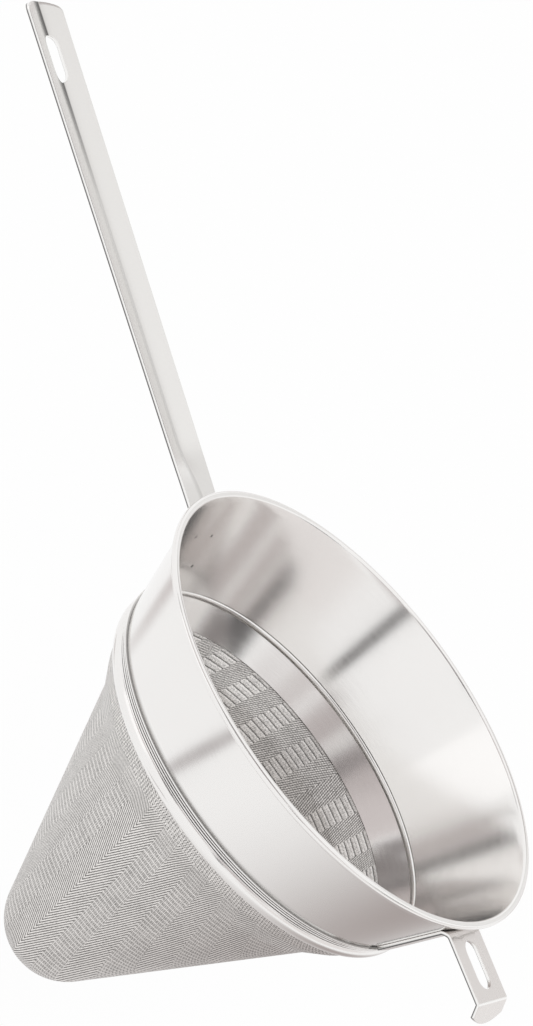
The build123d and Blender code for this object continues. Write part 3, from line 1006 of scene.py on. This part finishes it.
def bend_strip(name, stations, slot_middle, end_shape):
    """A strip with its slot, bent, pressed and given its thickness and rounded edges."""
    s = settings().strainer_strips
    half = max(station.half_width for station in stations)
    piece = flat_strip(name, stations, half)
    cut_slot(piece, slot_middle, half)
    shape_strip(piece, stations, half, end_shape)
    bpy.context.view_layer.update()
    if max(piece.data.polygons, key=lambda face: face.area).normal.z < 0:
        bpy.ops.object.mode_set(mode="EDIT")
        bpy.ops.mesh.select_all(action="SELECT")
        bpy.ops.mesh.flip_normals()
        bpy.ops.object.mode_set(mode="OBJECT")
    # slot 0 is the strip's faces, 1 its rounded cut edges with painted shade, 2 its sides with a
    # painted highlight
    for _ in range(3):
        piece.data.materials.append(None)
    solid = piece.modifiers.new("thickness", "SOLIDIFY")
    solid.thickness = s.thickness
    solid.offset = -1
    solid.use_even_offset = True
    solid.material_offset_rim = 2
    bevel = piece.modifiers.new("edges", "BEVEL")
    bevel.width = s.edge
    bevel.segments = 2
    bevel.limit_method = "ANGLE"
    bevel.angle_limit = BEVEL_FROM
    bevel.material = 1
    on_top = len(piece.data.vertices)
    bpy.ops.object.modifier_apply(modifier="thickness")
    # the thickness adds its own points after the top's; a long side runs from 0 at the top to 1
    layer = piece.data.uv_layers.new(name="side")
    for loop in piece.data.loops:
        corner = piece.data.vertices[loop.vertex_index]
        outermost = corner.index >= on_top and abs(corner.co.y) > half * SIDE_SHARE
        layer.data[loop.index].uv = (0.5, 1.0 if outermost else 0.0)
    bpy.ops.object.modifier_apply(modifier="edges")
    # only the lower edges keep the painted shade: those that face up are as bright as the top
    for face in piece.data.polygons:
        if face.material_index == 1 and face.normal.z > 0:
            face.material_index = 0
    bpy.ops.object.shade_smooth_by_angle(angle=SMOOTH_STRIP)
    return piece


def strip_corner(below, slope):
    """Where a strip's top face meets the line of the collar's outer face."""
    c, r = settings().strainer_collar, settings().strainer_rings
    level = collar_face(0, c.sheet + r.seam)
    rise = tan(slope)
    z = (-below + rise * (level[0] - c.mouth_diameter / 2)) / (1 - rise * tan(c.lean))
    return (level[0] + z * tan(c.lean), z)


def strip_foot(above_lock):
    """The foot of a strip's tab, on the collar and this far above the lock ring."""
    c, r = settings().strainer_collar, settings().strainer_rings
    return collar_face(c.height - r.lock_overlap - above_lock, c.sheet + r.seam)


class OBJECT_OT_strainer_handle(Operator):
    """Bends the handle: a tab on the collar, then a long shallow trough with a slot"""

    bl_idname = "object.strainer_handle"
    bl_label = "Handle"

    def execute(self, context):
        s, f = settings().strainer_strips, settings().strainer_finishes
        mouth = settings().strainer_collar.mouth_diameter / 2
        arm_end = s.reach + s.crown
        slot_middle = arm_end - s.slot_from_end

        def on_arm(along):
            """A point on the arm's top face."""
            return (-mouth - along * cos(s.rise), -s.below + along * sin(s.rise))

        # both are drawn on the +X side, so they are mirrored
        mirrored = (strip_foot(s.above_lock), strip_corner(s.below, s.rise))
        foot, corner = ((-x, z) for x, z in mirrored)
        bend = fold(foot, corner, on_arm(arm_end), s.bend, BEND_STEPS)
        places = stretch(foot, bend[0][0], FOOT_STEP) + bend
        along = start = (-mouth - bend[-1][0][0]) / cos(s.rise)
        # the tab's lengths are counted back from where the arm starts
        stations = []
        for (point, heading), (after, _) in zip(places[-2::-1], places[:0:-1]):
            along -= distance(point, after)
            stations.insert(0, Station(along, point, heading, s.root_width / 2))

        rows = [start]
        for limit, step in (
            (slot_middle - SLOT_BLOCK, PLAIN_STEP), (slot_middle + SLOT_BLOCK, SLOT_STEP),
            (arm_end, SLOT_STEP),
        ):
            begin = rows[-1]
            count = max(1, round((limit - begin) / step))
            rows += [begin + (limit - begin) * (k + 1) / count for k in range(count)]
        for along in rows:
            part = max(0.0, min(1.0, (along - s.trough_start) / s.trough_run))
            gain = max(0.0, along) / s.reach * (s.end_width - s.root_width)
            sunk = s.trough * part * part * (3 - 2 * part)
            half_width = (s.root_width + gain) / 2
            stations.append(Station(along, on_arm(along), pi - s.rise, half_width, sunk))

        def end_shape(out):
            """How far the end falls short of its crown at this share of the half width."""
            over = max(0.0, (out - 1) * s.end_width / 2 + s.corner)
            rounding = s.corner - sqrt(max(0.0, s.corner**2 - over**2))
            return s.crown * out**2 + rounding, slot_middle + SLOT_BLOCK

        piece = bend_strip("handle_strip", stations, slot_middle, end_shape)
        # the handle's steel carries the painted dark reflection along its valley
        steel = polished_steel("handle_steel", f.strip, f.strip_roughness, ROLLED, painted_valley_reflection)
        edge = painted_shade_finish("painted_edge_shade", f.edge)
        # the sides get a painted highlight, with painted shade on their lower part
        bright = polished_steel("painted_side_highlight", f.strip_side_highlight, f.steel_roughness, ROLLED, painted_side_shade)
        hand_over(piece, "handle", "strip_steel", steel, edge, bright)
        return {"FINISHED"}


class OBJECT_OT_strainer_hook(Operator):
    """Bends the pan hook: a leg on the collar, a slotted arm and a lip turned down"""

    bl_idname = "object.strainer_hook"
    bl_label = "Pan hook"

    def execute(self, context):
        s, f = settings().strainer_strips, settings().strainer_finishes
        mouth = settings().strainer_collar.mouth_diameter / 2
        foot = strip_foot(s.hook_above_lock)
        corner = strip_corner(s.hook_below, -s.hook_fall)
        crease = (mouth + s.hook_reach, -s.hook_below - s.hook_reach * tan(s.hook_fall))
        lip = (
            crease[0] + s.lip_length * cos(s.lip_turn),
            crease[1] - s.lip_length * sin(s.lip_turn),
        )
        slot = (
            crease[0] - s.slot_from_crease * cos(s.hook_fall),
            crease[1] + s.slot_from_crease * sin(s.hook_fall),
        )
        root = fold(foot, corner, crease, s.bend, BEND_STEPS)
        turn = fold(corner, crease, lip, s.crease_bend, CREASE_STEPS)
        before_arm = stretch(foot, root[0][0], FOOT_STEP) + root[:-1]
        places = before_arm + stretch(root[-1][0], turn[0][0], SLOT_STEP) + turn[:-1]
        places += stretch(turn[-1][0], lip, LIP_STEP) + [(lip, turn[-1][1])]
        stations, along = [], 0.0
        for k, (point, heading) in enumerate(places):
            if k:
                along += distance(places[k - 1][0], point)
            stations.append(Station(along, point, heading, s.hook_width / 2))
        slot_middle = stations[len(before_arm)].along + distance(root[-1][0], slot)
        lip_start = along - s.lip_length * LIP_CURVE_SHARE

        def end_shape(out):
            """How far the lip falls short of its middle at this share of the half width."""
            return (s.lip_length - s.lip_side) * out**2, lip_start

        piece = bend_strip("hook_strip", stations, slot_middle, end_shape)
        steel = polished_steel("hook_steel", f.hook, f.strip_roughness + HOOK_DULLER, ROLLED)
        # the hook takes the handle's painted edge shade and painted side highlight
        edge, hook_highlight = bpy.data.materials["painted_edge_shade"], bpy.data.materials["painted_side_highlight"]
        hand_over(piece, "hook", "strip_steel", steel, edge, hook_highlight)
        # faces of the crease that slope this way get the painted highlight of the sides
        for face in piece.data.polygons:
            steepness = CREASE_SLOPE[0] < face.normal.z < CREASE_SLOPE[1]
            if face.center.x > crease[0] - CREASE_REACH and steepness:
                face.material_index = 2
        for node in ("handle_welds", "hook_welds"):
            for place in bpy.data.objects[node].material_slots:
                place.material = steel
        return {"FINISHED"}


class SCENE_OT_strainer_studio(Operator):
    """Sets the camera, the floor, the white surroundings and the soft lamps"""

    bl_idname = "scene.strainer_studio"
    bl_label = "Studio"

    def execute(self, context):
        s = settings().strainer_studio
        floor_z = -settings().strainer_cloth.depth - s.floor_drop
        set_camera(s)
        deselect()
        bpy.ops.mesh.primitive_plane_add(size=s.floor_size, location=(0, 0, floor_z))
        floor = bpy.context.object
        floor.name = "floor"
        bpy.ops.object.transform_apply(location=True, rotation=False, scale=False)
        floor.data.materials.append(studio_floor(tuple(s.floor)))
        white_world(s.world_strength)

        # name, tone, softness, layer over the floor, middle, direction, half width, swing
        for name, tone, soft, layer, middle, along, half_wide, swing in (
            ("floor_card", s.card, 1, 1, s.card_place, (s.card_radius, 0), s.card_radius, 0),
            ("floor_shade", s.smudge, 0.8, 2, (-0.037, -0.17), (0.013, -0.065), 0.014, 0.006),
            ("floor_shade_left", s.mist, 0.9, 2, (-0.25, 0.045), (-0.09, 0.04), 0.045, 0),
        ):
            card = add_card(name, tone, soft)
            on_floor(card, (*middle, floor_z + layer * FLOOR_LAYER), along, half_wide, swing)
        # name, tone, softness, and in degrees: turn, rise, half width, half height
        cards = (
            ("low_camera_side", s.overcast, 0.3, -108, 33, 56, 9),
            ("low_left_side", s.overcast, 0.4, -140, 27, 26, 9),
            ("high_camera_side", s.night, 0.6, -82, 47, 38, 15),
            ("low_right_side", s.haze, 0.35, 5, 4, 58, 13),
            ("high_right_side", s.overcast, 0.7, -40, 23, 32, 9),
            ("far_side", s.mist, 0.5, 97, 3, 38, 7),
            ("far_high_side", s.pale, 0.3, 90, 38, 45, 24),
            ("far_left_side", s.dusk, 0.8, 122, 48, 22, 14),
            ("narrow_stand", s.stand, 0.7, -56, 14, 5, 12),
            ("dark_spot", s.stand, 0.6, 4, 22, 20, 7),
            ("dark_spot_left", s.night, 0.7, -163, 21, 10, 6),
            ("upper_right_side", s.mist, 0.8, -48, 32, 16, 6),
            ("camera_spot", s.stand, 0.5, -100, 27, 14, 6),
            ("camera_glint", s.glint, 0.5, -90, 34.5, 10, 3.5),
            ("camera_spot_left", s.stand, 0.5, -109, 38, 12, 6),
        )
        for i, (name, tone, soft, turn, rise, half_wide, half_high) in enumerate(cards):
            card = add_card(name, tone, soft)
            # each card stands a little nearer than the one before, so that it shows over it
            in_the_round(card, turn, rise, half_wide, half_high, DOME - DOME_LAYER * i)

        # name, place, size and power in watts
        for name, place, size, watts in (
            ("lamp_left", (-1.7, -1.5, 0.45), 1.5, s.key_power),
            ("lamp_top", (0.1, 1.6, 1.9), 1.6, s.fill_power),
        ):
            deselect()
            bpy.ops.object.light_add(type="AREA", location=place)
            lamp = bpy.context.object
            lamp.name = name
            lamp.data.size = size
            lamp.data.energy = watts
            aim = (Vector((0, 0, -0.05)) - Vector(place)).normalized()
            lamp.rotation_euler = aim.to_track_quat("-Z", "Y").to_euler()
        bpy.context.scene.view_settings.view_transform = "Standard"
        return {"FINISHED"}


def set_camera(s):
    """Places the scene's camera at the photograph's viewing angle."""
    deselect()
    bpy.ops.object.camera_add(location=s.camera_place)
    camera = bpy.context.object
    right, up = Vector(s.camera_right).normalized(), Vector(s.camera_up).normalized()
    back = right.cross(up).normalized()
    turn = Matrix((right, back.cross(right), back)).transposed().to_4x4()
    camera.matrix_world = Matrix.Translation(Vector(s.camera_place)) @ turn
    camera.data.lens = s.lens
    camera.data.sensor_fit = "VERTICAL"
    camera.data.sensor_height = SENSOR
    camera.data.clip_end = CLIP_END
    bpy.context.scene.camera = camera


def seen_directly(board):
    """1 for camera, glossy and transmission rays, so that the steel shows the white too."""
    rays = board.add("ShaderNodeLightPath").outputs
    seen = board.math("MAXIMUM", rays["Is Camera Ray"], rays["Is Glossy Ray"])
    return board.math("MAXIMUM", seen, rays["Is Transmission Ray"])


def studio_floor(tone):
    """A pale floor, shown as white to the camera and in the steel, with a faint shadow kept."""
    board = board_of("pale_floor")
    board.dress(Base_Color=(*tone, 1.0), Roughness=0.9, Specular_IOR_Level=0.0)
    white = board.add("ShaderNodeEmission", {"Color": (1, 1, 1, 1)}).outputs[0]
    seen = board.math("MULTIPLY", seen_directly(board), FLOOR_WHITE)
    return board.show(seen, board.shader.outputs[0], white)


def add_card(name, tone, soft=1.0):
    """A card whose edges fade out over the share soft of its half sizes; to be bent into place.

    It is there for the steel to reflect, so the camera and the shadows leave it out.
    """
    deselect()
    bpy.ops.mesh.primitive_grid_add(
        x_subdivisions=CARD_CUTS[0], y_subdivisions=CARD_CUTS[1], size=2, location=(0, 0, 0)
    )
    card = bpy.context.object
    card.name = name
    board = board_of(name)
    flat = board.add("ShaderNodeTexCoord").outputs["UV"]
    away = {0: flat, 1: (0.5, 0.5, 0)}
    away = board.add("ShaderNodeVectorMath", away, operation="DISTANCE").outputs["Value"]
    fade = {"Value": away, 1: 0.5 * (1 - soft), 2: 0.5, 3: 1.0, 4: 0.0}
    fade = board.add("ShaderNodeMapRange", fade, interpolation_type="SMOOTHSTEP")
    glow = board.add("ShaderNodeEmission", {"Color": (*tone, 1.0)})
    clear = board.add("ShaderNodeBsdfTransparent")
    board.show(fade.outputs["Result"], clear.outputs[0], glow.outputs[0])
    card.data.materials.append(board.holder)
    card.visible_camera = False
    card.visible_diffuse = False
    card.visible_shadow = False
    return card


def on_floor(card, place, along, half_wide, swing):
    """Lays a card on the floor, along a direction and swung to both sides of it."""
    lie = Vector((*along, 0))
    side = Vector((-lie.y, lie.x, 0)).normalized()
    for vertex in card.data.vertices:
        x, y = vertex.co.x, vertex.co.y
        vertex.co = Vector(place) + lie * x + side * (half_wide * y + swing * sin(pi * x))


def in_the_round(card, turn, rise, half_wide, half_high, away):
    """Bends a card into a part of a dome round the object, from its direction in degrees."""
    for vertex in card.data.vertices:
        around = radians(turn + half_wide * vertex.co.x)
        up = radians(rise + half_high * vertex.co.y)
        vertex.co = away * Vector((cos(up) * cos(around), cos(up) * sin(around), sin(up)))


def white_world(strength):
    """White to the camera, in the steel and through openings; softer as a light."""
    world = bpy.data.worlds.new("white_studio")
    bpy.context.scene.world = world
    board = NodeBoard(world, "Background", "World Output")
    board.dress(Color=(1, 1, 1, 1), Strength=strength)
    white = board.add("ShaderNodeBackground", {"Color": (1, 1, 1, 1), "Strength": 1.0})
    board.show(seen_directly(board), board.shader.outputs[0], white.outputs[0])


class VIEW3D_PT_strainer(Panel):
    """Lists the strainer's sizes and the steps that make it"""

    bl_idname = "VIEW3D_PT_strainer"
    bl_label = "Chinois strainer"
    bl_space_type = "VIEW_3D"
    bl_region_type = "UI"
    bl_category = "Strainer"

    def draw(self, context):
        layout = self.layout
        for group, title in SETS:
            box = layout.box()
            box.label(text=title)
            sizes = getattr(context.scene, group)
            for key in sizes.bl_rna.properties.keys():
                if key not in ("rna_type", "name"):
                    box.prop(sizes, key)
        for step in STEPS:
            layout.operator(step.bl_idname)


SETS = (
    ("strainer_collar", "Collar"),
    ("strainer_rings", "Clamping rings"),
    ("strainer_cloth", "Wire cloth"),
    ("strainer_strips", "Handle and hook"),
    ("strainer_finishes", "Finishes"),
    ("strainer_studio", "Studio"),
)
GROUPS = (CollarSizes, RingSizes, ClothSizes, StripSizes, Finishes, Studio)
STEPS = (
    SCENE_OT_strainer_studio,
    OBJECT_OT_strainer_collar,
    OBJECT_OT_strainer_rings,
    OBJECT_OT_strainer_cloth,
    OBJECT_OT_strainer_handle,
    OBJECT_OT_strainer_hook,
)


def register():
    for item in GROUPS + STEPS + (VIEW3D_PT_strainer,):
        bpy.utils.register_class(item)
    for (name, _), group in zip(SETS, GROUPS):
        setattr(bpy.types.Scene, name, PointerProperty(type=group))


def unregister():
    for name, _ in SETS:
        delattr(bpy.types.Scene, name)
    for item in reversed(GROUPS + STEPS + (VIEW3D_PT_strainer,)):
        bpy.utils.unregister_class(item)


def main():
    register()
    bpy.ops.scene.strainer_studio()
    bpy.ops.object.strainer_collar()
    bpy.ops.object.strainer_rings()
    bpy.ops.object.strainer_cloth()
    bpy.ops.object.strainer_handle()
    bpy.ops.object.strainer_hook()
    deselect()


if __name__ == "__main__":
    main()
